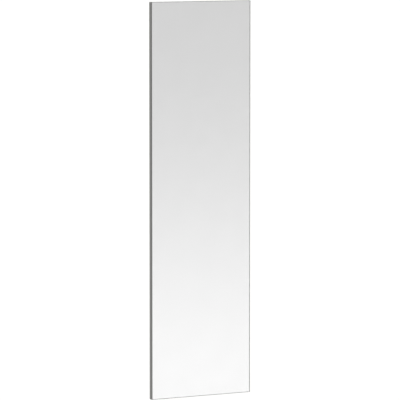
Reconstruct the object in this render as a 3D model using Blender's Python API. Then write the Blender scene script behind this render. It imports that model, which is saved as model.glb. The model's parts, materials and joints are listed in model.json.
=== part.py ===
"""Frameless hallway wall mirror that hangs on two pairs of interlocking Z clips.

Silvered float glass is bonded to an edge-banded board. Two Z clips on the back of the board hook behind
two Z clips on the wall. Metres, +Z up. The front faces -Y, and the wall is the plane y = 0. The origin is
on the wall, midway between the wall clips.
"""

import math

import bmesh
import bpy

# Panel and glass
MIRROR_WIDTH = 0.450
MIRROR_HEIGHT = 1.600
GLASS_THICKNESS = 0.003
GLASS_ARRIS = 0.001  # flat ground on every edge of the glass
BOARD_THICKNESS = 0.018
EDGE_BAND_THICKNESS = 0.001
EDGE_BAND_RADIUS = 0.0006  # round-over on the bands' long outer edges

# Layers between the glass and the board
SILVER_THICKNESS = 0.0001  # silver, copper and lacquer together
FILM_THICKNESS = 0.00015
FILM_SETBACK = 0.003  # film ends this far inside the edge of the glass
TAPE_THICKNESS = 0.001
TAPE_WIDTH = 0.019
TAPE_COUNT = 4
TAPE_SIDE_MARGIN = 0.030
TAPE_END_MARGIN = 0.025
BEAD_WIDTH = 0.012
BEAD_END_MARGIN = 0.070
BEAD_END_ROUND = 0.0055

# Z clips: all four are cut from one profile
CLIP_SHEET = 0.002
CLIP_FLANGE = 0.024
CLIP_LIP = 0.014  # free height of the lip, so also how far the mirror lifts to come off
CLIP_CORNER = 0.0004  # radius on the profile's corners
CLIP_LENGTH = 0.060
CLIP_SIDE_MARGIN = 0.065  # from the side of the mirror to the end of a clip
CLIP_FROM_TOP = 0.080  # from the top of the mirror to the top of the panel clips
CLIP_HOLE_COUNT = 2
CLIP_HOLE_MARGIN = 0.013  # from the end of a clip to its first hole

# Countersunk screws of the panel clips
SCREW_SHANK = 0.0035
SCREW_HEAD_LAND = 0.00025  # sheet left under the head's cone
SCREW_TIP = 0.003  # length of the point
SCREW_COVER = 0.004  # board left beyond the point
RECESS_RIM = 0.0015  # head left outside the cross recess
RECESS_FLOOR = 0.0005  # head left under the cross recess
RECESS_SLOT = 0.0009

# Wall bumpers at the lower back
BUMPER_DIAMETER = 0.022
BUMPER_MARGIN = 0.030  # from a bumper to the nearest edges of the panel
BUMPER_ROUND = 0.0008

# Clearances
LAYER_GAP = 0.00005  # between flat faces that are bonded or screwed together
FIT_GAP = 0.0003  # around anything that slides, hooks or sits in a hole

ROUND_STEPS = 32  # facets of a turned piece

# Clips hooked together: the lip of one fills the space behind the lip of the other
LIP_STEP = CLIP_SHEET + 2 * FIT_GAP
PANEL_CLIP_Y = -(CLIP_SHEET + FIT_GAP + LIP_STEP)
PANEL_CLIP_Z = CLIP_FLANGE + CLIP_LIP + FIT_GAP
CLIP_ACROSS = MIRROR_WIDTH / 2 - CLIP_SIDE_MARGIN - CLIP_LENGTH / 2

# Screw and hole, from the clip and the board that they join
HEAD_DEPTH = CLIP_SHEET - SCREW_HEAD_LAND
HEAD_DIAMETER = SCREW_SHANK + 2 * HEAD_DEPTH  # the cone is cut at 90 degrees
SCREW_LENGTH = CLIP_SHEET + LAYER_GAP + BOARD_THICKNESS - SCREW_COVER
HOLE_DIAMETER = SCREW_SHANK + 2 * FIT_GAP

# Planes through the panel, from the wall towards the room
BOARD_BACK = PANEL_CLIP_Y - LAYER_GAP
BOARD_FRONT = BOARD_BACK - BOARD_THICKNESS
TAPE_FRONT = BOARD_FRONT - LAYER_GAP - TAPE_THICKNESS
FILM_FRONT = TAPE_FRONT - LAYER_GAP - FILM_THICKNESS
SILVER_FRONT = FILM_FRONT - LAYER_GAP - SILVER_THICKNESS
GLASS_FRONT = SILVER_FRONT - LAYER_GAP - GLASS_THICKNESS

# Heights of the mirror on the wall
MIRROR_TOP = PANEL_CLIP_Z + CLIP_FLANGE / 2 + CLIP_FROM_TOP
MIRROR_MIDDLE = MIRROR_TOP - MIRROR_HEIGHT / 2
MIRROR_BOTTOM = MIRROR_TOP - MIRROR_HEIGHT


def clear_scene():
    for obj in list(bpy.data.objects):
        bpy.data.objects.remove(obj, do_unlink=True)


def material(name, colour, roughness, metallic=0.0, transmission=0.0):
    """Principled material of one linear colour."""
    made = bpy.data.materials.new(name)
    made.use_nodes = True
    shader = made.node_tree.nodes["Principled BSDF"]
    shader.inputs["Base Color"].default_value = (*colour, 1.0)
    shader.inputs["Roughness"].default_value = roughness
    shader.inputs["Metallic"].default_value = metallic
    shader.inputs["Transmission Weight"].default_value = transmission
    return made


def empty(name, location):
    made = bpy.data.objects.new(name, None)
    made.location = location
    bpy.context.collection.objects.link(made)
    return made


def mesh_of(name, bm):
    mesh = bpy.data.meshes.new(name)
    bm.to_mesh(mesh)
    bm.free()
    return mesh


def add_object(name, mesh, finish, parent=None, location=(0, 0, 0), rotation=(0, 0, 0)):
    """One named piece at its place under its parent."""
    made = bpy.data.objects.new(name, mesh)
    if finish and not mesh.materials:
        mesh.materials.append(finish)
    made.parent = parent
    made.location = location
    made.rotation_euler = rotation
    bpy.context.collection.objects.link(made)
    return made


def box(size_x, size_y, size_z):
    """Box centred on its own origin."""
    bm = bmesh.new()
    bmesh.ops.create_cube(bm, size=1.0)
    bmesh.ops.scale(bm, verts=bm.verts, vec=(size_x, size_y, size_z))
    return bm


def turned(profile):
    """Solid turned about Z from (radius, height) points that run down its outside from axis to axis."""
    bm = bmesh.new()
    points = [bm.verts.new((radius, 0, height)) for radius, height in profile]
    lines = [bm.edges.new(pair) for pair in zip(points, points[1:])]
    bmesh.ops.spin(
        bm,
        geom=points + lines,
        cent=(0, 0, 0),
        axis=(0, 0, 1),
        angle=math.tau,
        steps=ROUND_STEPS,
        use_merge=True,
    )
    bmesh.ops.remove_doubles(bm, verts=bm.verts, dist=1e-6)
    bmesh.ops.recalc_face_normals(bm, faces=bm.faces)
    return bm


def smooth(mesh):
    mesh.shade_smooth()
    mesh.set_sharp_from_angle(angle=math.radians(35))


def cut(obj, cutter):
    """Boolean cut by a helper that is itself left out of the object."""
    cutter.hide_render = True
    cutter.display_type = "WIRE"
    boolean = obj.modifiers.new("cut", "BOOLEAN")
    boolean.operation = "DIFFERENCE"
    boolean.object = cutter


def finished_mesh(obj):
    """Mesh of an object with its cuts made. The object and the helpers that cut it are removed."""
    graph = bpy.context.evaluated_depsgraph_get()
    mesh = bpy.data.meshes.new_from_object(obj.evaluated_get(graph))
    helpers = [modifier.object for modifier in obj.modifiers if modifier.type == "BOOLEAN"]
    for spent in [obj, *helpers]:
        bpy.data.objects.remove(spent, do_unlink=True)
    return mesh


def spread(count, span):
    """Positions of count things spaced evenly over a span centred on zero."""
    return [span * (index / (count - 1) - 0.5) for index in range(count)]


def clip_hole_places():
    """Places of a clip's holes along it, from its middle."""
    return spread(CLIP_HOLE_COUNT, CLIP_LENGTH - 2 * CLIP_HOLE_MARGIN)


def clip_profile():
    """Z section as (y, z): flange on the wall, web outwards, lip upwards."""
    web_top = CLIP_FLANGE / 2
    lip_top = web_top + CLIP_LIP
    return [
        (0, -CLIP_FLANGE / 2),
        (0, web_top),
        (-LIP_STEP, web_top),
        (-LIP_STEP, lip_top),
        (-LIP_STEP - CLIP_SHEET, lip_top),
        (-LIP_STEP - CLIP_SHEET, web_top - CLIP_SHEET),
        (-CLIP_SHEET, web_top - CLIP_SHEET),
        (-CLIP_SHEET, -CLIP_FLANGE / 2),
    ]


def clip_mesh():
    """Clip with countersunk holes, its origin in the middle of the flange's back face."""
    bm = bmesh.new()
    points = [bm.verts.new((-CLIP_LENGTH / 2, y, z)) for y, z in clip_profile()]
    bm.faces.new(points)
    bmesh.ops.bevel(bm, geom=points, offset=CLIP_CORNER, segments=2, profile=0.5, affect="VERTICES")
    grown = bmesh.ops.extrude_face_region(bm, geom=list(bm.faces))["geom"]
    far_end = [item for item in grown if isinstance(item, bmesh.types.BMVert)]
    bmesh.ops.translate(bm, verts=far_end, vec=(CLIP_LENGTH, 0, 0))
    bmesh.ops.recalc_face_normals(bm, faces=bm.faces)
    blank = add_object("clip_blank", mesh_of("clip_blank", bm), None)

    hole = HOLE_DIAMETER / 2
    mouth = HEAD_DIAMETER / 2 + FIT_GAP
    profile = [
        (0, CLIP_SHEET),
        (mouth, CLIP_SHEET),
        (mouth, 0),
        (hole, hole - mouth),
        (hole, -2 * CLIP_SHEET),
        (0, -2 * CLIP_SHEET),
    ]
    drill_mesh = mesh_of("hole_drill", turned(profile))
    for place in clip_hole_places():
        spot = (place, -CLIP_SHEET, 0)
        drill = add_object("hole_drill", drill_mesh, None, None, spot, (math.pi / 2, 0, 0))
        cut(blank, drill)
    mesh = finished_mesh(blank)
    smooth(mesh)
    return mesh


def screw_mesh():
    """Countersunk screw with a cross recess, head up, its origin in the middle of the head's top."""
    head = HEAD_DIAMETER / 2
    shank = SCREW_SHANK / 2
    profile = [
        (0, 0),
        (head, 0),
        (shank, -HEAD_DEPTH),
        (shank, SCREW_TIP - SCREW_LENGTH),
        (0, -SCREW_LENGTH),
    ]
    blank = add_object("screw_blank", mesh_of("screw_blank", turned(profile)), None)
    span = HEAD_DIAMETER - 2 * RECESS_RIM
    depth = HEAD_DEPTH - RECESS_FLOOR
    for size_x, size_y in ((span, RECESS_SLOT), (RECESS_SLOT, span)):
        blade = add_object("blade", mesh_of("blade", box(size_x, size_y, 2 * depth)), None)
        cut(blank, blade)
    mesh = finished_mesh(blank)
    smooth(mesh)
    return mesh


def add_glass(carrier, finish):
    middle = GLASS_FRONT + GLASS_THICKNESS / 2
    mesh = mesh_of("mirror_glass", box(MIRROR_WIDTH, GLASS_THICKNESS, MIRROR_HEIGHT))
    glass = add_object("mirror_glass", mesh, finish, carrier, (0, middle, MIRROR_MIDDLE))
    arris = glass.modifiers.new("arris", "BEVEL")
    arris.width = GLASS_ARRIS
    arris.segments = 1
    arris.limit_method = "NONE"


def add_sheet(name, carrier, finish, front, thickness, setback):
    """Thin layer behind the glass, ending a setback inside its edges."""
    width = MIRROR_WIDTH - 2 * setback
    height = MIRROR_HEIGHT - 2 * setback
    mesh = mesh_of(name, box(width, thickness, height))
    add_object(name, mesh, finish, carrier, (0, front + thickness / 2, MIRROR_MIDDLE))


def edges_along(bm, axis):
    """Edges of a box that run along one axis, 0 for X, 1 for Y or 2 for Z."""
    found = []
    for edge in bm.edges:
        start, end = edge.verts
        if abs((end.co - start.co).normalized()[axis]) > 0.5:
            found.append(edge)
    return found


def bead_mesh():
    """Pressed bead of adhesive, as thick as the tape, with rounded ends."""
    bm = box(BEAD_WIDTH, TAPE_THICKNESS, MIRROR_HEIGHT - 2 * BEAD_END_MARGIN)
    bmesh.ops.bevel(
        bm,
        geom=edges_along(bm, 1),
        offset=BEAD_END_ROUND,
        segments=6,
        profile=0.5,
        affect="EDGES",
        clamp_overlap=True,
    )
    return mesh_of("adhesive_bead", bm)


def add_bond(carrier, tape_finish, bead_finish):
    """Tape strips spread over the width, with a bead of adhesive midway between each two."""
    middle = TAPE_FRONT + TAPE_THICKNESS / 2
    tapes = spread(TAPE_COUNT, MIRROR_WIDTH - 2 * TAPE_SIDE_MARGIN - TAPE_WIDTH)
    tape = mesh_of("mounting_tape", box(TAPE_WIDTH, TAPE_THICKNESS, MIRROR_HEIGHT - 2 * TAPE_END_MARGIN))
    bead = bead_mesh()
    for number, across in enumerate(tapes, 1):
        place = (across, middle, MIRROR_MIDDLE)
        add_object(f"mounting_tape_{number}", tape, tape_finish, carrier, place)
    for number, (left, right) in enumerate(zip(tapes, tapes[1:]), 1):
        place = ((left + right) / 2, middle, MIRROR_MIDDLE)
        add_object(f"adhesive_bead_{number}", bead, bead_finish, carrier, place)


def add_board(carrier, finish):
    """Board between the bands, with a pilot hole for each screw of the panel clips."""
    trim = 2 * (EDGE_BAND_THICKNESS + LAYER_GAP)
    mesh = mesh_of("backing_board", box(MIRROR_WIDTH - trim, BOARD_THICKNESS, MIRROR_HEIGHT - trim))
    middle = BOARD_FRONT + BOARD_THICKNESS / 2
    board = add_object("backing_board", mesh, finish, carrier, (0, middle, MIRROR_MIDDLE))
    pilot = HOLE_DIAMETER / 2
    depth = BOARD_THICKNESS - SCREW_COVER + FIT_GAP
    profile = [(0, depth), (pilot, depth), (pilot, -depth), (0, -depth)]
    drill_mesh = mesh_of("pilot_drill", turned(profile))
    for side in (-CLIP_ACROSS, CLIP_ACROSS):
        for place in clip_hole_places():
            spot = (side + place, BOARD_BACK, PANEL_CLIP_Z)
            drill = add_object("pilot_drill", drill_mesh, None, carrier, spot, (math.pi / 2, 0, 0))
            cut(board, drill)


def band_mesh(name, length):
    """Upright band with its outer face at +X and both long outer edges rounded over."""
    bm = box(EDGE_BAND_THICKNESS, BOARD_THICKNESS, length)
    outer = [edge for edge in edges_along(bm, 2) if edge.verts[0].co.x > 0]
    bmesh.ops.bevel(bm, geom=outer, offset=EDGE_BAND_RADIUS, segments=3, profile=0.5, affect="EDGES")
    mesh = mesh_of(name, bm)
    smooth(mesh)
    return mesh


def add_edge_bands(carrier, finish):
    """Side bands run the full height, and the top and bottom bands sit between them."""
    middle = BOARD_FRONT + BOARD_THICKNESS / 2
    side = (MIRROR_WIDTH - EDGE_BAND_THICKNESS) / 2
    end = (MIRROR_HEIGHT - EDGE_BAND_THICKNESS) / 2
    upright = band_mesh("edge_band_upright", MIRROR_HEIGHT)
    level = band_mesh("edge_band_level", MIRROR_WIDTH - 2 * (EDGE_BAND_THICKNESS + LAYER_GAP))
    quarter = math.pi / 2
    bands = (
        ("edge_band_right", upright, (side, 0), (0, 0, 0)),
        ("edge_band_left", upright, (-side, 0), (0, 0, math.pi)),
        ("edge_band_top", level, (0, end), (0, -quarter, 0)),
        ("edge_band_bottom", level, (0, -end), (0, quarter, 0)),
    )
    for name, mesh, (across, up), turn in bands:
        add_object(name, mesh, finish, carrier, (across, middle, MIRROR_MIDDLE + up), turn)


def add_bumpers(carrier, finish):
    """Round pads that fill the gap between the board and the wall, flat on both faces."""
    depth = -BOARD_BACK - LAYER_GAP
    radius = BUMPER_DIAMETER / 2
    eased = radius - BUMPER_ROUND
    profile = [(0, 0), (eased, 0), (radius, -BUMPER_ROUND), (radius, -depth), (0, -depth)]
    mesh = mesh_of("bumper", turned(profile))
    smooth(mesh)
    across = MIRROR_WIDTH / 2 - BUMPER_MARGIN - radius
    up = MIRROR_BOTTOM + BUMPER_MARGIN + radius
    for name, side in (("bumper_left", -across), ("bumper_right", across)):
        add_object(name, mesh, finish, carrier, (side, 0, up), (-math.pi / 2, 0, 0))


def add_clips(wall, carrier, clip_finish, screw_finish):
    """Clips on the wall, and clips screwed to the board, turned over so that their lips hook behind."""
    clip = clip_mesh()
    screw = screw_mesh()
    for side, across in (("left", -CLIP_ACROSS), ("right", CLIP_ACROSS)):
        add_object(f"wall_clip_{side}", clip, clip_finish, wall, (across, 0, 0))
        hooked = (across, PANEL_CLIP_Y, PANEL_CLIP_Z)
        turned_over = (math.pi, 0, 0)
        panel_clip = add_object(f"panel_clip_{side}", clip, clip_finish, carrier, hooked, turned_over)
        for number, place in enumerate(clip_hole_places(), 1):
            name = f"panel_clip_{side}_screw_{number}"
            seat = (place, -CLIP_SHEET, 0)
            add_object(name, screw, screw_finish, panel_clip, seat, (math.pi / 2, 0, 0))


def build():
    clear_scene()
    glass = material("glass", (0.93, 0.97, 0.95), 0.0, transmission=1.0)
    silver = material("silver", (0.90, 0.90, 0.90), 0.02, metallic=1.0)
    film = material("film", (0.22, 0.24, 0.26), 0.5)
    foam = material("foam_tape", (0.75, 0.75, 0.73), 0.8)
    adhesive = material("adhesive", (0.62, 0.61, 0.57), 0.4)
    board = material("board", (0.18, 0.18, 0.175), 0.6)
    band = material("edge_band", (0.18, 0.18, 0.175), 0.5)
    aluminium = material("aluminium", (0.60, 0.61, 0.62), 0.4, metallic=1.0)
    steel = material("steel", (0.62, 0.60, 0.56), 0.35, metallic=1.0)
    rubber = material("bumper", (0.05, 0.05, 0.05), 0.8)

    wall = empty("wall_body", (0, 0, 0))
    carrier = empty("mirror_body", (0, 0, 0))  # on the line along which the mirror lifts off

    add_clips(wall, carrier, aluminium, steel)
    add_glass(carrier, glass)
    add_sheet("silvering", carrier, silver, SILVER_FRONT, SILVER_THICKNESS, GLASS_ARRIS)
    add_sheet("safety_film", carrier, film, FILM_FRONT, FILM_THICKNESS, FILM_SETBACK)
    add_bond(carrier, foam, adhesive)
    add_board(carrier, board)
    add_edge_bands(carrier, band)
    add_bumpers(carrier, rubber)


build()
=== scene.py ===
import json
import math

import bmesh
import bpy
import numpy as np
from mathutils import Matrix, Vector


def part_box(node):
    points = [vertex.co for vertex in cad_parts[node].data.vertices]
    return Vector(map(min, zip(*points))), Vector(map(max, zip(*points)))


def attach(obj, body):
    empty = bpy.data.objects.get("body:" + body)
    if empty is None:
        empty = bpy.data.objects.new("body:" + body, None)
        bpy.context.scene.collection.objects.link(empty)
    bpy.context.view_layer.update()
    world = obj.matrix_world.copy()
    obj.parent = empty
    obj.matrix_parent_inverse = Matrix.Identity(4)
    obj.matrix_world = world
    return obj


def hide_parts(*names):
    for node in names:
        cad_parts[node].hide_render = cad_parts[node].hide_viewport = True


# wall mirror: silvered glass bonded to a grey, edged board that hangs on Z clips. Lengths are in metres.
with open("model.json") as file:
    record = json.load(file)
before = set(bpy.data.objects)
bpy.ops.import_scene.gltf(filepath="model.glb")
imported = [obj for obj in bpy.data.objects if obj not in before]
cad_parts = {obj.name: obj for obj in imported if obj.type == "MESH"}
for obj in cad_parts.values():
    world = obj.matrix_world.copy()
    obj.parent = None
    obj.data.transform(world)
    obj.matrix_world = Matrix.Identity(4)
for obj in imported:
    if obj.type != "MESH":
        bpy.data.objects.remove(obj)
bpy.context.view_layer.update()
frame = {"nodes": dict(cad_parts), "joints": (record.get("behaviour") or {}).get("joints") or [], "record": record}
mm = 0.001
weldGap = 0.002 * mm         # points of a piece closer together than this become one
noiseRange = (0.35, 0.65)    # most of a noise's values lie between these
nodeBody = {node: body for body, nodes in frame["record"]["behaviour"]["bodies"].items() for node in nodes}


# sRGB hex to linear light: a straight line below 0.04045, a power of 2.4 above it
def hexToLinear(code):
    channel = np.array([int(code[at:at + 2], 16) for at in (1, 3, 5)]) / 255
    linear = np.where(channel <= 0.04045, channel / 12.92, ((channel + 0.055) / 1.055) ** 2.4)
    return (*linear.tolist(), 1.0)


# adds one node: fields are the node's own settings, sockets its fixed inputs, links what feeds it
def addNode(tree, kind, sockets=None, links=None, **fields):
    node = tree.nodes.new(kind)
    for name, value in fields.items():
        setattr(node, name, value)
    for name, value in (sockets or {}).items():
        node.inputs[name].default_value = value
    for name, source in (links or {}).items():
        tree.links.new(source, node.inputs[name])
    return node


# a finish starts as a Principled shader with its fixed values set on the sockets
def startFinish(name, sockets):
    finish = bpy.data.materials.new(name)
    finish.use_nodes = True
    shader = finish.node_tree.nodes["Principled BSDF"]
    for socket, value in sockets.items():
        shader.inputs[socket].default_value = value
    return finish, finish.node_tree, shader


# lays patterns into a finish. The first shades its colour from dark to light, its contrast stretched about
# the middle. The second sets its roughness and its relief, whose depth is in metres from black to white.
def layPattern(tree, shader, look, shade, grain):
    low, high = look.get("contrast", noiseRange)
    share = addNode(tree, "ShaderNodeMapRange", {"From Min": low, "From Max": high}, {"Value": shade})
    colour = addNode(tree, "ShaderNodeMix", {6: hexToLinear(look["dark"]), 7: hexToLinear(look["light"])},
                     {0: share.outputs["Result"]}, data_type="RGBA")
    tree.links.new(colour.outputs[2], shader.inputs["Base Color"])
    if "gloss" in look:
        smooth, rough = look["gloss"]
        gloss = addNode(tree, "ShaderNodeMapRange", {"To Min": smooth, "To Max": rough}, {"Value": grain})
        tree.links.new(gloss.outputs["Result"], shader.inputs["Roughness"])
    if "depth" in look:
        relief = addNode(tree, "ShaderNodeBump", {"Strength": 1.0, "Distance": look["depth"]},
                         {"Height": grain})
        tree.links.new(relief.outputs["Normal"], shader.inputs["Normal"])


# quads between the neighbours of a grid of points; a seam is a repeated row or column, welded later
def gridQuads(rows, columns, first):
    index = first + np.arange(rows * columns).reshape(rows, columns)
    corners = (index[:-1, :-1], index[:-1, 1:], index[1:, 1:], index[1:, :-1])
    return np.stack(corners, axis=-1).reshape(-1, 4)


# a grid's own map in metres: u is the mean length along its columns so far, v the same along its rows
def gridSpan(grid):
    alongColumns = np.linalg.norm(np.diff(grid, axis=1), axis=2).mean(axis=0)
    alongRows = np.linalg.norm(np.diff(grid, axis=0), axis=2).mean(axis=1)
    u = np.concatenate([[0], np.cumsum(alongColumns)])
    v = np.concatenate([[0], np.cumsum(alongRows)])
    return np.stack(np.meshgrid(u, v), axis=-1)


# one mesh from patches: (points, finish) with points as rows x columns x 3 for a grid of quads, or
# n x 3 for one flat face. Seams are welded, faces turned outwards, and creases past the angle kept sharp.
def weldPatches(name, patches, crease):
    points, spans, faces, faceFinish = [], [], [], []
    count = 0
    for grid, finish in patches:
        flat = grid.reshape(-1, 3)
        if grid.ndim == 3:
            quads = gridQuads(*grid.shape[:2], count)
            perRow = np.broadcast_to(finish, (grid.shape[0] - 1,))
            faces += quads.tolist()
            faceFinish += np.repeat(perRow, grid.shape[1] - 1).tolist()
            spans.append(gridSpan(grid).reshape(-1, 2))
        else:
            faces.append(list(range(count, count + len(flat))))
            faceFinish.append(int(finish))
            spans.append(flat[:, [0, 2]])
        points.append(flat)
        count += len(flat)
    mesh = bpy.data.meshes.new(name)
    mesh.from_pydata(np.concatenate(points).tolist(), [], faces)
    mesh.polygons.foreach_set("material_index", faceFinish)
    corner = np.zeros(len(mesh.loops), int)
    mesh.loops.foreach_get("vertex_index", corner)
    layer = mesh.uv_layers.new(name="span")
    layer.data.foreach_set("uv", np.concatenate(spans)[corner].astype(np.float32).ravel())
    shell = bmesh.new()
    shell.from_mesh(mesh)
    bmesh.ops.remove_doubles(shell, verts=shell.verts, dist=weldGap)
    bmesh.ops.recalc_face_normals(shell, faces=shell.faces)
    shell.to_mesh(mesh)
    shell.free()
    mesh.shade_smooth()
    mesh.set_sharp_from_angle(angle=math.radians(crease))
    return mesh


# the piece that stands for a node: it rides on the node's body, and the node is hidden
def makePiece(node, patches, finishes, crease=30):
    name = node.title().replace("_", "")
    mesh = weldPatches(name, patches, crease)
    for finish in finishes:
        mesh.materials.append(finish)
    piece = bpy.data.objects.new(name, mesh)
    bpy.context.scene.collection.objects.link(piece)
    flats = piece.modifiers.new("flatsStayFlat", "WEIGHTED_NORMAL")
    flats.keep_sharp = True
    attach(piece, nodeBody[node])
    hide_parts(node)
    return piece


# rounds the corners of a path: each corner becomes the arc that touches both its sides. With A and B the
# arc's two ends seen from its centre and t its turn, a point is (sin((1-s)t) A + sin(s t) B) / sin t.
def cornerArcs(corners, radius, steps, closed=True):
    corners = np.asarray(corners, float)
    before, after = np.roll(corners, 1, axis=0), np.roll(corners, -1, axis=0)
    if not closed:
        before, after, corners = before[1:-1], after[1:-1], corners[1:-1]
    back, ahead = before - corners, after - corners
    back = back / np.linalg.norm(back, axis=1, keepdims=True)
    ahead = ahead / np.linalg.norm(ahead, axis=1, keepdims=True)
    half = np.arccos(np.clip((back * ahead).sum(axis=1, keepdims=True), -1, 1)) / 2
    radius = np.broadcast_to(radius, len(half))[:, None]
    middle = (back + ahead) / np.linalg.norm(back + ahead, axis=1, keepdims=True)
    centre = corners + middle * radius / np.sin(half)
    start = corners + back * radius / np.tan(half) - centre
    end = corners + ahead * radius / np.tan(half) - centre
    turn = (math.pi - 2 * half)[:, None]
    share = np.linspace(0, 1, steps)[None, :, None]
    arc = np.sin((1 - share) * turn) * start[:, None] + np.sin(share * turn) * end[:, None]
    return centre[:, None] + arc / np.sin(turn)


# carries a profile of (inset, depth) round an upright rectangle with round corners: a point is its
# corner's centre plus (corner radius - inset) times a direction that turns a quarter at each corner
def carryRound(low, high, profile, cornerRadius, steps):
    angle = (np.linspace(0, math.pi / 2, steps) + np.arange(4)[:, None] * math.pi / 2).ravel()
    side = np.repeat([(1, 1), (-1, 1), (-1, -1), (1, -1)], steps, axis=0)
    middle = np.array([low[0] + high[0], low[2] + high[2]]) / 2
    half = np.array([high[0] - low[0], high[2] - low[2]]) / 2
    centre = middle + side * (half - cornerRadius)
    heading = np.stack([np.cos(angle), np.sin(angle)], axis=1)
    inset, depth = np.asarray(profile, float).T
    ring = centre + (cornerRadius - inset)[:, None, None] * heading
    grid = np.stack([ring[..., 0], np.broadcast_to(depth[:, None], ring.shape[:2]), ring[..., 1]], axis=-1)
    return np.concatenate([grid, grid[:, :1]], axis=1)


# draws a closed section in by a distance, along the normal of the line through each point's neighbours
def drawIn(section, inset):
    tangent = np.roll(section, -1, axis=0) - np.roll(section, 1, axis=0)
    tangent = tangent / np.linalg.norm(tangent, axis=1, keepdims=True)
    x, y = section.T
    winding = np.sign((x * np.roll(y, -1) - y * np.roll(x, -1)).sum())
    return section + inset * winding * np.stack([-tangent[:, 1], tangent[:, 0]], axis=1)


# carries a closed section along a straight path: point = place + length * along + a * across + b * up.
# Both ends are eased: the section there is drawn in by the ease, and is full that much further along.
def carryAlong(section, stations, ease, place, along, across, up):
    inner = np.asarray(stations, float)
    lengths = np.concatenate([[inner[0]], [inner[0] + ease], inner[1:-1], [inner[-1] - ease], [inner[-1]]])
    full = np.repeat(section[:, None], len(lengths), axis=1)
    full[:, [0, -1]] = drawIn(section, ease)[:, None]
    full = np.concatenate([full, full[:1]], axis=0)
    axes = np.array([along, across, up], float)
    return place + lengths[None, :, None] * axes[0] + full[..., :1] * axes[1] + full[..., 1:] * axes[2]


# the rim of a square grid, once round from its lowest corner and back to it
def squareRim(ticks):
    low, high = np.full(len(ticks) - 1, ticks[0]), np.full(len(ticks) - 1, ticks[-1])
    first = np.concatenate([ticks[:-1], high, ticks[:0:-1], low])
    second = np.concatenate([low, ticks[:-1], high, ticks[:0:-1]])
    rim = np.stack([first, second], axis=1)
    return np.concatenate([rim, rim[:1]])


# Float glass, fire-polished on molten tin: clear and flat. A roller wave far too slight to see by
# itself lets a long reflection waver by a hair.
floatGlass = {"tint": "#FEFEFE", "index": 1.52, "wave": 260 * mm, "depth": 0.002 * mm}


def floatGlassFinish():
    finish, tree, shader = startFinish("floatGlassPolished", {
        "Base Color": hexToLinear(floatGlass["tint"]), "Roughness": 0.0,
        "IOR": floatGlass["index"], "Transmission Weight": 1.0})
    spot = addNode(tree, "ShaderNodeTexCoord")
    wave = addNode(tree, "ShaderNodeTexNoise", {"Scale": 1 / floatGlass["wave"], "Detail": 0.0},
                   {"Vector": spot.outputs["Object"]})
    relief = addNode(tree, "ShaderNodeBump", {"Strength": 1.0, "Distance": floatGlass["depth"]},
                     {"Height": wave.outputs["Fac"]})
    tree.links.new(relief.outputs["Normal"], shader.inputs["Normal"])
    return finish


# Edge of the glass, ground with a diamond wheel and sealed: dull grey with fine lines along the edge.
# The wheel's lines are about 0.05 mm apart, and are drawn wider here so that they show.
groundEdge = {"dark": "#5E5E5D", "light": "#767675", "lineLength": 14 * mm, "lineWidth": 0.25 * mm,
              "depth": 0.006 * mm, "gloss": (0.38, 0.55)}


def groundEdgeFinish():
    finish, tree, shader = startFinish("glassEdgeGround", {"IOR": floatGlass["index"]})
    span = addNode(tree, "ShaderNodeUVMap", uv_map="span")
    stretch = (1 / groundEdge["lineLength"], 1 / groundEdge["lineWidth"], 1.0)
    place = addNode(tree, "ShaderNodeMapping", {"Scale": stretch}, {"Vector": span.outputs["UV"]})
    lines = addNode(tree, "ShaderNodeTexNoise", {"Scale": 1.0, "Detail": 3.0},
                    {"Vector": place.outputs["Vector"]})
    layPattern(tree, shader, groundEdge, lines.outputs["Fac"], lines.outputs["Fac"])
    return finish


# Silver precipitated on glass: a mirror with hardly any colour, a trace denser here and there
silverCoat = {"dark": "#F9F9F9", "light": "#FAFAFA", "cloud": 90 * mm}


def silverCoatFinish():
    finish, tree, shader = startFinish("silverDeposited", {"Metallic": 1.0, "Roughness": 0.0})
    spot = addNode(tree, "ShaderNodeTexCoord")
    cloud = addNode(tree, "ShaderNodeTexNoise", {"Scale": 1 / silverCoat["cloud"], "Detail": 1.0},
                    {"Vector": spot.outputs["Object"]})
    layPattern(tree, shader, silverCoat, cloud.outputs["Fac"], None)
    return finish


# Lacquer run over the silver in a curtain coater: dark grey, half glossy, with a slack orange peel
backLacquer = {"dark": "#43484A", "light": "#4F5557", "peel": 3.5 * mm, "depth": 0.03 * mm,
               "gloss": (0.3, 0.42)}


def backLacquerFinish():
    finish, tree, shader = startFinish("mirrorLacquerCurtainCoated", {"IOR": 1.5})
    spot = addNode(tree, "ShaderNodeTexCoord")
    peel = addNode(tree, "ShaderNodeTexNoise", {"Scale": 1 / backLacquer["peel"], "Detail": 2.0},
                   {"Vector": spot.outputs["Object"]})
    layPattern(tree, shader, backLacquer, peel.outputs["Fac"], peel.outputs["Fac"])
    return finish


# the pane: a flat ground arris at front and back, and a flat ground edge between them
glassPane = {"frontArris": 1.3 * mm, "backArris": 1.0 * mm, "cornerRadius": 2.0 * mm, "cornerSteps": 8}


def makeGlass(node):
    low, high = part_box(node)
    front, back = glassPane["frontArris"], glassPane["backArris"]
    profile = [(front, low.y), (0, low.y + front), (0, high.y - back), (back, high.y)]
    grid = carryRound(low, high, profile, glassPane["cornerRadius"], glassPane["cornerSteps"])
    patches = [(grid[0, :-1], 0), (grid, 1), (grid[-1, :-1], 0)]
    return makePiece(node, patches, [floatGlassFinish(), groundEdgeFinish()])


# a thin layer behind the pane: its front has the first finish, its rim and back the second
def makeLayer(node, finishes, cornerRadius):
    low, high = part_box(node)
    grid = carryRound(low, high, [(0, low.y), (0, high.y)], cornerRadius, glassPane["cornerSteps"])
    return makePiece(node, [(grid[0, :-1], 0), (grid, 1), (grid[-1, :-1], 1)], finishes)


makeGlass("mirror_glass")
silverRadius = glassPane["cornerRadius"] - glassPane["backArris"]
makeLayer("silvering", [silverCoatFinish(), backLacquerFinish()], silverRadius)
print("mirror made: glass and silver")


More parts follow.
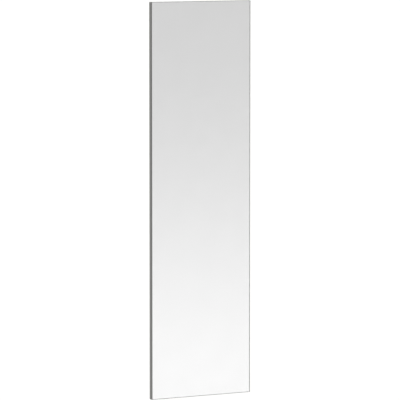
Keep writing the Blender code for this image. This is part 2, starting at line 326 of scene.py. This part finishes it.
# Safety film: polyethylene laid on the lacquer, with a net of strands in it that holds the splinters: a
# dull grey sheet crossed by paler, raised lines
safetyFilm = {"dark": "#7B8084", "light": "#8A8F93", "strandSpacing": 6 * mm, "strandWidth": 0.4 * mm,
              "strandBlur": 0.6, "depth": 0.05 * mm, "gloss": (0.55, 0.42), "contrast": (0, 1),
              "cornerRadius": 1.0 * mm}


def safetyFilmFinish():
    finish, tree, shader = startFinish("polyethyleneFilmReinforced", {"IOR": 1.5})
    spot = addNode(tree, "ShaderNodeTexCoord")
    upright = addNode(tree, "ShaderNodeMapping", {"Rotation": (math.pi / 2, 0, 0)},
                      {"Vector": spot.outputs["Object"]})
    black, white = (0, 0, 0, 1), (1, 1, 1, 1)
    strands = addNode(tree, "ShaderNodeTexBrick", {
        "Color1": black, "Color2": black, "Mortar": white, "Scale": 1 / safetyFilm["strandSpacing"],
        "Mortar Size": safetyFilm["strandWidth"] / safetyFilm["strandSpacing"],
        "Mortar Smooth": safetyFilm["strandBlur"], "Brick Width": 1.0, "Row Height": 1.0},
        {"Vector": upright.outputs["Vector"]}, offset=0.0)
    layPattern(tree, shader, safetyFilm, strands.outputs["Color"], strands.outputs["Color"])
    return finish


film = safetyFilmFinish()
makeLayer("safety_film", [film, film], safetyFilm["cornerRadius"])


# Foam tape: closed-cell polyethylene foam, slit to width: dull and off-white, with cut cells that show
foamTape = {"dark": "#C9C9C4", "light": "#E6E6E2", "cell": 0.5 * mm, "depth": 0.12 * mm,
            "contrast": (0.0, 0.35), "sideRound": 0.25 * mm, "endEase": 0.1 * mm, "arcSteps": 4}


def foamTapeFinish():
    finish, tree, shader = startFinish("foamTapeSlit", {"Roughness": 0.85, "IOR": 1.45})
    spot = addNode(tree, "ShaderNodeTexCoord")
    cells = addNode(tree, "ShaderNodeTexVoronoi", {"Scale": 1 / foamTape["cell"]},
                    {"Vector": spot.outputs["Object"]}, feature="DISTANCE_TO_EDGE")
    layPattern(tree, shader, foamTape, cells.outputs["Distance"], cells.outputs["Distance"])
    return finish


# tape: a flat section with round sides, carried up its length
def makeTape(node, finish):
    low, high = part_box(node)
    corners = [(low.x, low.y), (high.x, low.y), (high.x, high.y), (low.x, high.y)]
    section = cornerArcs(corners, foamTape["sideRound"], foamTape["arcSteps"]).reshape(-1, 2)
    grid = carryAlong(section, (low.z, high.z), foamTape["endEase"], 0, (0, 0, 1), (1, 0, 0), (0, 1, 0))
    return makePiece(node, [(grid, 0), (grid[:-1, 0], 0), (grid[:-1, -1], 0)], [finish])


# Mirror adhesive: neutral silicone, gunned on as a bead and pressed flat, with a soft sheen
mirrorAdhesive = {"dark": "#C4C0B4", "light": "#D3CFC4", "streak": 9 * mm, "gloss": (0.32, 0.45)}


def mirrorAdhesiveFinish():
    finish, tree, shader = startFinish("siliconePressed", {"IOR": 1.41})
    spot = addNode(tree, "ShaderNodeTexCoord")
    streak = addNode(tree, "ShaderNodeTexNoise", {"Scale": 1 / mirrorAdhesive["streak"], "Detail": 3.0},
                     {"Vector": spot.outputs["Object"]})
    layPattern(tree, shader, mirrorAdhesive, streak.outputs["Fac"], streak.outputs["Fac"])
    return finish


# bead: waver is a share of its width, made of a slow and a quick sine. Each bead's sines lag by where it
# lies, so that no two are alike.
bead = {"waver": 0.09, "waverLength": 55 * mm, "slowPart": 0.6, "quickPart": 0.4, "quickRate": 1.7,
        "quickLead": 1.0, "lagPerMetre": 40, "endRise": 3, "flatness": 0.25, "aroundSteps": 20,
        "stationSpacing": 9 * mm}


# pressed bead, a function of height and of the angle round it: the half width wavers with the height and
# closes as a half circle at both ends, the thickness closes more steeply, and the section is a flattened
# ellipse
def makeBead(node, finish):
    low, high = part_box(node)
    middle, half = (low + high) / 2, (high - low) / 2
    count = int(2 * half.z / bead["stationSpacing"])
    height = -half.z * np.cos(np.linspace(0, math.pi, count))
    phase = 2 * math.pi * height / bead["waverLength"] + bead["lagPerMetre"] * middle.x
    slow = bead["slowPart"] * np.sin(phase)
    quick = bead["quickPart"] * np.sin(bead["quickRate"] * phase + bead["quickLead"])
    waver = 1 - bead["waver"] * (1 + slow + quick)
    toEnd = np.clip((half.z - np.abs(height)) / half.x, 0, 1)
    width = half.x * waver * np.sqrt(1 - (1 - toEnd) ** 2)
    thickness = half.y * np.sqrt(1 - (1 - np.clip(toEnd * bead["endRise"], 0, 1)) ** 2)
    angle = np.linspace(0, 2 * math.pi, bead["aroundSteps"] + 1)
    flat = np.sign(np.sin(angle)) * np.abs(np.sin(angle)) ** bead["flatness"]
    x = middle.x + width * np.cos(angle)[:, None]
    y = middle.y + thickness * flat[:, None]
    grid = np.stack([x, y, np.broadcast_to(middle.z + height, x.shape)], axis=-1)
    return makePiece(node, [(grid, 0)], [finish], crease=60)


foam, adhesive = foamTapeFinish(), mirrorAdhesiveFinish()
for node in sorted(frame["nodes"]):
    if node.startswith("mounting_tape"):
        makeTape(node, foam)
    if node.startswith("adhesive_bead"):
        makeBead(node, adhesive)
print("bond made: film, tape and adhesive")


# Chipboard faced with melamine, pressed under a fine pearl plate: dull grey with an even grain in the
# light. The pearl is about 0.3 mm on the real face, and is drawn wider here so that it shows.
melamine = {"dark": "#70706E", "light": "#7A7A78", "pearl": 1.3 * mm, "depth": 0.1 * mm,
            "gloss": (0.42, 0.58)}


def melamineFinish():
    finish, tree, shader = startFinish("melamineFacedBoard", {"IOR": 1.5})
    spot = addNode(tree, "ShaderNodeTexCoord")
    pearl = addNode(tree, "ShaderNodeTexNoise", {"Scale": 1 / melamine["pearl"], "Detail": 3.0},
                    {"Vector": spot.outputs["Object"]})
    layPattern(tree, shader, melamine, pearl.outputs["Fac"], pearl.outputs["Fac"])
    return finish


frame["nodes"]["backing_board"].material_slots[0].material = melamineFinish()


# ABS edging: extruded, embossed to match the board, ironed on and trimmed with a round cutter: the board's
# grey with faint streaks along its length. Its grain is drawn as wide as the board's.
edging = {"dark": "#70706E", "light": "#777775", "streakLength": 60 * mm, "streakWidth": 1.2 * mm,
          "emboss": 1.3 * mm, "depth": 0.1 * mm, "gloss": (0.36, 0.5),
          "round": 0.6 * mm, "innerRound": 0.05 * mm, "endEase": 0.08 * mm, "arcSteps": 6}


def edgingFinish():
    finish, tree, shader = startFinish("absEdgingExtruded", {"IOR": 1.53})
    span = addNode(tree, "ShaderNodeUVMap", uv_map="span")
    stretch = (1 / edging["streakLength"], 1 / edging["streakWidth"], 1.0)
    place = addNode(tree, "ShaderNodeMapping", {"Scale": stretch}, {"Vector": span.outputs["UV"]})
    streak = addNode(tree, "ShaderNodeTexNoise", {"Scale": 1.0, "Detail": 2.0},
                     {"Vector": place.outputs["Vector"]})
    spot = addNode(tree, "ShaderNodeTexCoord")
    emboss = addNode(tree, "ShaderNodeTexNoise", {"Scale": 1 / edging["emboss"], "Detail": 2.0},
                     {"Vector": spot.outputs["Object"]})
    layPattern(tree, shader, edging, streak.outputs["Fac"], emboss.outputs["Fac"])
    return finish


# band: a thin section with its two outer corners rounded, carried along the edge of the board.
# out points away from the board, along runs the length of the band.
def makeBand(node, finish, out, along):
    low, high = np.array(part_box(node))
    out, along = np.array(out, float), np.array(along, float)
    ends = np.sort([(low * along).sum(), (high * along).sum()])
    inner, outer = np.sort([(low * out).sum(), (high * out).sum()])
    corners = [(inner, low[1]), (outer, low[1]), (outer, high[1]), (inner, high[1])]
    radius = [edging["innerRound"], edging["round"], edging["round"], edging["innerRound"]]
    section = cornerArcs(corners, radius, edging["arcSteps"]).reshape(-1, 2)
    grid = carryAlong(section, ends, edging["endEase"], 0, along, out, (0, 1, 0))
    return makePiece(node, [(grid, 0), (grid[:-1, 0], 0), (grid[:-1, -1], 0)], [finish])


greyEdging = edgingFinish()
makeBand("edge_band_left", greyEdging, (-1, 0, 0), (0, 0, 1))
makeBand("edge_band_right", greyEdging, (1, 0, 0), (0, 0, 1))
makeBand("edge_band_top", greyEdging, (0, 0, 1), (1, 0, 0))
makeBand("edge_band_bottom", greyEdging, (0, 0, -1), (1, 0, 0))
print("panel made: board and edging")


# Steel cold-headed, thread-rolled and zinc-plated with a clear passivation: bright, with clouds of a
# bluish and a yellowish cast
zincSteel = {"dark": "#BFC4C9", "light": "#CFC9B8", "cloud": 2.2 * mm, "grain": 0.15 * mm,
             "gloss": (0.22, 0.38)}


def zincSteelFinish():
    finish, tree, shader = startFinish("steelZincPlated", {"Metallic": 1.0})
    spot = addNode(tree, "ShaderNodeTexCoord")
    cloud = addNode(tree, "ShaderNodeTexNoise", {"Scale": 1 / zincSteel["cloud"], "Detail": 3.0},
                    {"Vector": spot.outputs["Object"]})
    grain = addNode(tree, "ShaderNodeTexNoise", {"Scale": 1 / zincSteel["grain"], "Detail": 1.0},
                    {"Vector": spot.outputs["Object"]})
    layPattern(tree, shader, zincSteel, cloud.outputs["Fac"], grain.outputs["Fac"])
    return finish


# chipboard screw: cross recess, countersunk head, one thread down to the point. The head's rim is a
# profile of (inset, drop) in shares of its rounding, and bladeEnd and ridgeWidth are shares too.
screw = {"shank": 3.5 * mm, "core": 2.3 * mm, "pitch": 1.6 * mm, "ridgeWidth": 0.5, "tip": 3.0 * mm,
         "tipTaper": 0.8, "recessSpan": 4.0 * mm, "recessSlot": 0.9 * mm, "recessDepth": 1.25 * mm,
         "wallSlope": 0.16 * mm, "bladeEnd": 0.8, "bladeTaper": 0.6, "rimRound": 0.12 * mm,
         "rimProfile": [(2, 0), (1 / 3, 1 / 4), (0, 1)], "rowSpacing": 0.09 * mm}


# recess: over a square grid the depth is the deeper of two crossed blades. A blade is full depth along
# its middle, tapers to nothing at its ends, and has sloping walls one slope wide.
def recessPatch(ticks):
    reach, slot, slope = screw["recessSpan"] / 2, screw["recessSlot"] / 2, screw["wallSlope"]
    lengthwise = np.clip((reach - np.abs(ticks)) / (reach / 2), 0, 1) ** screw["bladeTaper"]
    crosswise = np.clip((slot - np.abs(ticks)) / slope, 0, 1)
    blades = np.maximum(np.outer(lengthwise, crosswise), np.outer(crosswise, lengthwise))
    first, second = np.meshgrid(ticks, ticks, indexing="ij")
    return np.stack([first, -screw["recessDepth"] * blades, second], axis=-1)


# body: rings round the axis from the recess's rim to the point. Below the head the radius is the core
# plus a ridge, and the ridge is a narrow tooth of (height / pitch + angle / full turn), so it winds.
def makeScrew(node, finish):
    low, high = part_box(node)
    head, length = (high.x - low.x) / 2, high.y - low.y
    shank, core = screw["shank"] / 2, screw["core"] / 2
    reach, slot, slope = screw["recessSpan"] / 2, screw["recessSlot"] / 2, screw["wallSlope"]
    positive = np.array([slot - slope, slot, (slot + reach) / 2, screw["bladeEnd"] * reach, reach])
    ticks = np.concatenate([-positive[::-1], [0], positive])
    rim = squareRim(ticks)
    firstAngle = math.atan2(rim[0, 1], rim[0, 0])
    angle = np.linspace(firstAngle, firstAngle + 2 * math.pi, len(rim))

    neck = shank - head
    thread = np.arange(neck, screw["tip"] - length, -screw["rowSpacing"])
    point = np.linspace(screw["tip"] - length, -length, int(screw["tip"] / screw["rowSpacing"]))
    height = np.concatenate([thread, point])[:, None]
    taper = np.clip((height + length) / screw["tip"], 0, 1) ** screw["tipTaper"]
    phase = (height / screw["pitch"] + angle / (2 * math.pi)) % 1
    tooth = np.clip((screw["ridgeWidth"] - np.abs(2 * phase - 1)) / screw["ridgeWidth"], 0, 1)
    runOut = np.clip((neck - height) / screw["pitch"], 0, 1)
    radius = taper * (shank + (core - shank) * runOut + (shank - core) * runOut * tooth)

    inset, drop = screw["rimRound"] * np.array(screw["rimProfile"]).T
    rings = np.concatenate([np.repeat(head - inset[:, None], len(rim), axis=1), radius])
    depth = np.repeat(np.concatenate([-drop[:, None], height]), len(rim), axis=1)
    turned = np.stack([rings * np.cos(angle), depth, rings * np.sin(angle)], axis=-1)
    start = np.stack([rim[:, 0], np.zeros(len(rim)), rim[:, 1]], axis=-1)
    place = np.array([(low.x + high.x) / 2, high.y, (low.z + high.z) / 2])
    body = place + np.concatenate([start[None], turned])
    return makePiece(node, [(place + recessPatch(ticks), 0), (body, 0)], [finish], crease=35)


screwNodes = sorted(node for node in frame["nodes"] if "_screw_" in node)
zincPlate = zincSteelFinish()
for node in screwNodes:
    makeScrew(node, zincPlate)
print("screws made:", len(screwNodes))


# Aluminium extruded through a die and anodised in its natural colour: satin, with die lines along its
# length. The lines are finer on a real profile, and are drawn wider here so that they show.
anodised = {"dark": "#C3C4C6", "light": "#D2D3D4", "lineLength": 70 * mm, "lineWidth": 0.5 * mm,
            "depth": 0.008 * mm, "gloss": (0.3, 0.46)}


def anodisedFinish():
    finish, tree, shader = startFinish("aluminiumExtrudedAnodised", {"Metallic": 1.0})
    spot = addNode(tree, "ShaderNodeTexCoord")
    stretch = (1 / anodised["lineLength"], 1 / anodised["lineWidth"], 1 / anodised["lineWidth"])
    place = addNode(tree, "ShaderNodeMapping", {"Scale": stretch}, {"Vector": spot.outputs["Object"]})
    lines = addNode(tree, "ShaderNodeTexNoise", {"Scale": 1.0, "Detail": 4.0},
                    {"Vector": place.outputs["Vector"]})
    layPattern(tree, shader, anodised, lines.outputs["Fac"], lines.outputs["Fac"])
    return finish


# The same aluminium where a saw or a countersink has cut it: brighter, with the tool's fine marks
cutMetal = {"dark": "#CDCECF", "light": "#E2E3E3", "markWidth": 0.35 * mm, "markLength": 8 * mm,
            "depth": 0.01 * mm, "gloss": (0.2, 0.36)}


def cutMetalFinish():
    finish, tree, shader = startFinish("aluminiumSawn", {"Metallic": 1.0})
    span = addNode(tree, "ShaderNodeUVMap", uv_map="span")
    stretch = (1 / cutMetal["markLength"], 1 / cutMetal["markWidth"], 1.0)
    place = addNode(tree, "ShaderNodeMapping", {"Scale": stretch}, {"Vector": span.outputs["UV"]})
    marks = addNode(tree, "ShaderNodeTexNoise", {"Scale": 1.0, "Detail": 3.0},
                    {"Vector": place.outputs["Vector"]})
    layPattern(tree, shader, cutMetal, marks.outputs["Fac"], marks.outputs["Fac"])
    return finish


# Z clip: the lip's height is how far the mirror lifts. A hole has a square cell in the flange, holeCell
# being half its side, and its clearance is measured from the screw.
zClip = {"sheet": 2.0 * mm, "lip": frame["joints"][0]["range_m"][1], "corner": 0.4 * mm, "arcSteps": 5,
         "endEase": 0.15 * mm, "holeCell": 5.5 * mm, "cellSteps": 12, "holeClearance": 0.3 * mm,
         "holeEase": 0.12 * mm}


# section: a Z of (depth, height) from the middle of its flange's back. Both faces of the flange have a
# point at each tick of a cell, so that a cell can be left out of the sweep.
def clipSection(step, top, ticks):
    sheet, lip = zClip["sheet"], zClip["lip"]
    corners = [(0, -top), (0, top), (-step, top), (-step, top + lip), (-step - sheet, top + lip),
               (-step - sheet, top - sheet), (-sheet, top - sheet), (-sheet, -top)]
    arcs = cornerArcs(corners, zClip["corner"], zClip["arcSteps"])
    back = np.stack([np.zeros(len(ticks)), ticks], axis=1)
    front = np.stack([np.full(len(ticks), -sheet), ticks[::-1]], axis=1)
    return np.concatenate([arcs[0], back, arcs[1:-1].reshape(-1, 2), front, arcs[-1]])


# the stretches of a row of flags that are all alike, as (first, end, flag)
def stretches(flags):
    edges = np.flatnonzero(np.diff(flags)) + 1
    return [(first, end, flags[first]) for first, end in zip([0, *edges], [*edges, len(flags)])]


# strips of a clip's sweep, without the cells. Six of the section's corners lie between its two rows of
# ticks, and two stations come before the first cell.
def clipStrips(grid, holeCount):
    arc, inCell = np.zeros(zClip["arcSteps"], bool), np.ones(zClip["cellSteps"] + 1, bool)
    inCell[-1] = False
    cellRows = np.concatenate([arc, inCell, np.tile(arc, 6), inCell, arc])
    cellColumns = np.concatenate([[False, False], np.tile(inCell, holeCount), [False]])
    strips = []
    for first, last, holed in stretches(cellRows):
        strip = grid[first:last + 1]
        parts = stretches(cellColumns) if holed else [(0, len(cellColumns), False)]
        strips += [strip[:, start:end + 1] for start, end, cut in parts if not cut]
    return strips


# a hole's cell: rings of (radius, depth) that start on its square rim, run through the hole and end on
# the square rim at the back. The radius falls as the countersink's cone does, then stays.
def cellRings(ticks):
    sheet, ease = zClip["sheet"], zClip["holeEase"]
    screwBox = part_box(screwNodes[0])
    bore = screw["shank"] / 2 + zClip["holeClearance"]
    mouth = (screwBox[1].x - screwBox[0].x) / 2 + zClip["holeClearance"]
    rings = np.array([(mouth + ease, -sheet), (mouth, ease / 2 - sheet), (bore, mouth - bore - sheet),
                      (bore, -ease), (bore + ease, 0)])
    rim = squareRim(ticks)
    heading = rim / np.linalg.norm(rim, axis=1, keepdims=True)
    flat = np.concatenate([rim[None], rings[:, :1, None] * heading, rim[None]])
    depth = np.concatenate([[-sheet], rings[:, 1], [0]])[:, None]
    return np.stack([flat[..., 0], np.broadcast_to(depth, flat.shape[:2]), flat[..., 1]], axis=-1)


# clip: its section carried along X, with a cell put in at each hole. Its ends and the insides of its holes
# are cut metal. Wall clips stand on the wall with the lip up, panel clips are turned over about X.
def makeClip(node, finishes, holes, turnedOver):
    low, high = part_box(node)
    half, top = (high.x - low.x) / 2, (high.z - low.z - zClip["lip"]) / 2
    ticks = np.linspace(-zClip["holeCell"], zClip["holeCell"], zClip["cellSteps"] + 1)
    section = clipSection(high.y - low.y - zClip["sheet"], top, ticks)
    stations = np.concatenate([[-half], *(hole + ticks for hole in holes), [half]])
    grid = carryAlong(section, stations, zClip["endEase"], 0, (1, 0, 0), (0, 1, 0), (0, 0, 1))
    patches = [(grid[:-1, 0], 1), (grid[:-1, -1], 1)]
    patches += [(strip, 0) for strip in clipStrips(grid, len(holes))]
    ringFinish = [0, 1, 1, 1, 1, 0]    # the flange's own outside both mouths of the hole
    patches += [(cellRings(ticks) + (hole, 0, 0), ringFinish) for hole in holes]
    sign = -1 if turnedOver else 1
    place = np.array([(low.x + high.x) / 2, low.y if turnedOver else high.y,
                      high.z - top if turnedOver else low.z + top])
    placed = [(place + points * (1, sign, sign), finish) for points, finish in patches]
    return makePiece(node, placed, finishes)


clipMetal = [anodisedFinish(), cutMetalFinish()]
for side in ("left", "right"):
    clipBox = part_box(f"panel_clip_{side}")
    clipMiddle = (clipBox[0].x + clipBox[1].x) / 2
    ownScrews = [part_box(node) for node in screwNodes if f"_{side}_" in node]
    holes = [(box[0].x + box[1].x) / 2 - clipMiddle for box in ownScrews]
    makeClip(f"wall_clip_{side}", clipMetal, holes, turnedOver=False)
    makeClip(f"panel_clip_{side}", clipMetal, holes, turnedOver=True)
print("clips made: two on the wall, two on the panel")


# Rubber moulded in an eroded tool: near black, dull, with a fine even grain
bumperRubber = {"dark": "#2A2A2A", "light": "#343434", "grain": 0.45 * mm, "depth": 0.03 * mm,
                "gloss": (0.62, 0.8), "wallRound": 0.8 * mm, "boardRound": 0.2 * mm, "draft": 0.15 * mm,
                "arcSteps": 6, "aroundSteps": 72}


def bumperRubberFinish():
    finish, tree, shader = startFinish("rubberMoulded", {"IOR": 1.52})
    spot = addNode(tree, "ShaderNodeTexCoord")
    grain = addNode(tree, "ShaderNodeTexNoise", {"Scale": 1 / bumperRubber["grain"], "Detail": 2.0},
                    {"Vector": spot.outputs["Object"]})
    layPattern(tree, shader, bumperRubber, grain.outputs["Fac"], grain.outputs["Fac"])
    return finish


# bumper: a profile of (radius, depth) turned about Y, from the middle of one face to the other
def makeBumper(node, finish):
    low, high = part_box(node)
    middle, radius = (low + high) / 2, (high.x - low.x) / 2
    corners = np.array([(0, high.y), (radius - bumperRubber["draft"], high.y), (radius, low.y), (0, low.y)])
    rounds = [bumperRubber["wallRound"], bumperRubber["boardRound"]]
    arcs = cornerArcs(corners, rounds, bumperRubber["arcSteps"], closed=False).reshape(-1, 2)
    profile = np.concatenate([corners[:1], arcs, corners[-1:]])
    angle = np.linspace(0, 2 * math.pi, bumperRubber["aroundSteps"] + 1)
    out, depth = profile[:, :1], np.broadcast_to(profile[:, 1:], (len(profile), len(angle)))
    grid = np.stack([middle.x + out * np.cos(angle), depth, middle.z + out * np.sin(angle)], axis=-1)
    return makePiece(node, [(grid, 0)], [finish])


rubber = bumperRubberFinish()
for node in ("bumper_left", "bumper_right"):
    makeBumper(node, rubber)
print("bumpers made")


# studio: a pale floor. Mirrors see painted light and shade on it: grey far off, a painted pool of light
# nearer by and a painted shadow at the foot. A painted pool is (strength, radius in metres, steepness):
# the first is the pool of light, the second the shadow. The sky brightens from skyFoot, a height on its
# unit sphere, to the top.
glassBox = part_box("mirror_glass")
studio = {"drop": 0.35, "reach": 400.0, "floor": "#F2F2F0", "lift": 0.10, "far": 0.685,
          "pools": [(0.383, 10.7, 1.82), (-0.35, 1.3, 5.0)],
          "skyFoot": -0.2, "skyLow": 0.30, "skyHigh": 0.55}


# Painted floor: an even matt white, lifted a little for the camera. To mirrors and glass it shows painted
# light and shade instead: the far tone plus, for each painted pool, strength / (1 + (distance / radius) ^
# steepness).
def paintedFloorFinish():
    finish = bpy.data.materials.new("paintedFloor")
    finish.use_nodes = True
    finish.cycles.emission_sampling = "NONE"
    tree = finish.node_tree
    tree.nodes.clear()
    path = addNode(tree, "ShaderNodeLightPath")
    spot = addNode(tree, "ShaderNodeTexCoord")
    onFloor = addNode(tree, "ShaderNodeVectorMath", {1: (1.0, 1.0, 0.0)}, {0: spot.outputs["Object"]},
                      operation="MULTIPLY")
    distance = addNode(tree, "ShaderNodeVectorMath", None, {0: onFloor.outputs[0]}, operation="LENGTH")
    paintedTone = None
    # each pass adds one painted pool: painted light where its strength is positive, a painted shadow where it is
    # negative
    for strength, radius, steepness in studio["pools"]:
        share = addNode(tree, "ShaderNodeMath", {1: radius}, {0: distance.outputs["Value"]},
                        operation="DIVIDE")
        power = addNode(tree, "ShaderNodeMath", {1: steepness}, {0: share.outputs[0]}, operation="POWER")
        below = addNode(tree, "ShaderNodeMath", {1: 1.0}, {0: power.outputs[0]}, operation="ADD")
        paintedPool = addNode(tree, "ShaderNodeMath", {0: strength}, {1: below.outputs[0]}, operation="DIVIDE")
        soFar = {1: paintedTone.outputs[0]} if paintedTone else {}
        paintedTone = addNode(tree, "ShaderNodeMath", {1: studio["far"]}, {0: paintedPool.outputs[0], **soFar},
                       operation="ADD")
    # the painted light and shade, which only mirrors and glass see
    paintedToneGlow = addNode(tree, "ShaderNodeEmission", None, {"Strength": paintedTone.outputs[0]})
    paint = addNode(tree, "ShaderNodeBsdfDiffuse", {"Color": hexToLinear(studio["floor"])})
    lift = addNode(tree, "ShaderNodeMath", {1: studio["lift"]}, {0: path.outputs["Is Camera Ray"]},
                   operation="MULTIPLY")
    glow = addNode(tree, "ShaderNodeEmission", None, {"Strength": lift.outputs[0]})
    lit = addNode(tree, "ShaderNodeAddShader", None, {0: paint.outputs[0], 1: glow.outputs[0]})
    sentOn = addNode(tree, "ShaderNodeMath", None, {0: path.outputs["Is Glossy Ray"],
                     1: path.outputs["Is Transmission Ray"]}, operation="MAXIMUM")
    mix = addNode(tree, "ShaderNodeMixShader", None,
                  {0: sentOn.outputs[0], 1: lit.outputs[0], 2: paintedToneGlow.outputs[0]})
    side = addNode(tree, "ShaderNodeNewGeometry")    # from below the floor is clear, so it hides nothing
    clear = addNode(tree, "ShaderNodeBsdfTransparent")
    oneWay = addNode(tree, "ShaderNodeMixShader", None,
                     {0: side.outputs["Backfacing"], 1: mix.outputs[0], 2: clear.outputs[0]})
    addNode(tree, "ShaderNodeOutputMaterial", None, {"Surface": oneWay.outputs[0]})
    return finish


# floor: a flat grid of two by two points, below the mirror's foot
def makeFloor():
    level = glassBox[0].z - studio["drop"]
    ends = np.array([-studio["reach"], studio["reach"]])
    x, y = np.meshgrid(ends, ends)
    points = np.stack([x, y, np.full(x.shape, level)], axis=-1).reshape(-1, 3)
    mesh = bpy.data.meshes.new("studioFloor")
    mesh.from_pydata(points.tolist(), [], gridQuads(2, 2, 0).tolist())
    mesh.materials.append(paintedFloorFinish())
    floor = bpy.data.objects.new("studioFloor", mesh)
    bpy.context.scene.collection.objects.link(floor)


# sky: white to the camera, the far floor's grey to mirrors, and a soft light from above on the object
def makeSky():
    world = bpy.data.worlds.new("studioSky")
    bpy.context.scene.world = world
    world.use_nodes = True
    tree = world.node_tree
    tree.nodes.clear()
    path = addNode(tree, "ShaderNodeLightPath")
    spot = addNode(tree, "ShaderNodeTexCoord")
    height = addNode(tree, "ShaderNodeSeparateXYZ", None, {0: spot.outputs["Generated"]})
    soft = addNode(tree, "ShaderNodeMapRange", {
        "From Min": studio["skyFoot"], "From Max": 1.0, "To Min": studio["skyLow"],
        "To Max": studio["skyHigh"]}, {"Value": height.outputs["Z"]})
    sentOn = addNode(tree, "ShaderNodeMath", None, {0: path.outputs["Is Glossy Ray"],
                     1: path.outputs["Is Transmission Ray"]}, operation="MAXIMUM")
    forMirror = addNode(tree, "ShaderNodeMix", {3: studio["far"]},
                        {0: sentOn.outputs[0], 2: soft.outputs["Result"]})
    forCamera = addNode(tree, "ShaderNodeMix", {3: 1.0},
                        {0: path.outputs["Is Camera Ray"], 2: forMirror.outputs[0]})
    sky = addNode(tree, "ShaderNodeBackground", {"Color": (1, 1, 1, 1)}, {"Strength": forCamera.outputs[0]})
    addNode(tree, "ShaderNodeOutputWorld", None, {"Surface": sky.outputs[0]})


# lamps: broad and far, so the floor is lit evenly; bearing is seen from above, 0 in front, 90 on the right
lamps = {"key": {"bearing": -45, "height": 45, "power": 1.6, "spread": 40},
         "back": {"bearing": 150, "height": 42, "power": 1.1, "spread": 50}}


def makeLamps():
    for name, lamp in lamps.items():
        bearing, height = math.radians(lamp["bearing"]), math.radians(lamp["height"])
        towards = Vector((math.sin(bearing) * math.cos(height), -math.cos(bearing) * math.cos(height),
                          math.sin(height)))
        light = bpy.data.lights.new(name, "SUN")
        light.energy = lamp["power"]
        light.angle = math.radians(lamp["spread"])
        holder = bpy.data.objects.new(name, light)
        holder.rotation_euler = towards.to_track_quat("Z", "Y").to_euler()
        bpy.context.scene.collection.objects.link(holder)


makeFloor()
makeSky()
makeLamps()
print("studio made: floor, sky and", len(lamps), "lamps")


# camera: its place is measured from the middle of the mirror's lower edge, at the back of the board
viewpoint = {"right": -6.1073, "back": -11.4289, "up": 2.0095, "yaw": 28.139, "pitch": 5.346,
             "lens": 289.66}
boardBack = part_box("backing_board")[1].y
camera = bpy.data.objects.new("camera", bpy.data.cameras.new("camera"))
camera.data.lens = viewpoint["lens"]
camera.data.clip_end = 2 * studio["reach"]
camera.location = (viewpoint["right"], boardBack + viewpoint["back"], glassBox[0].z + viewpoint["up"])
camera.rotation_euler = (math.radians(90 - viewpoint["pitch"]), 0, -math.radians(viewpoint["yaw"]))
bpy.context.scene.collection.objects.link(camera)
bpy.context.scene.camera = camera
bpy.context.scene.view_settings.view_transform = "Standard"
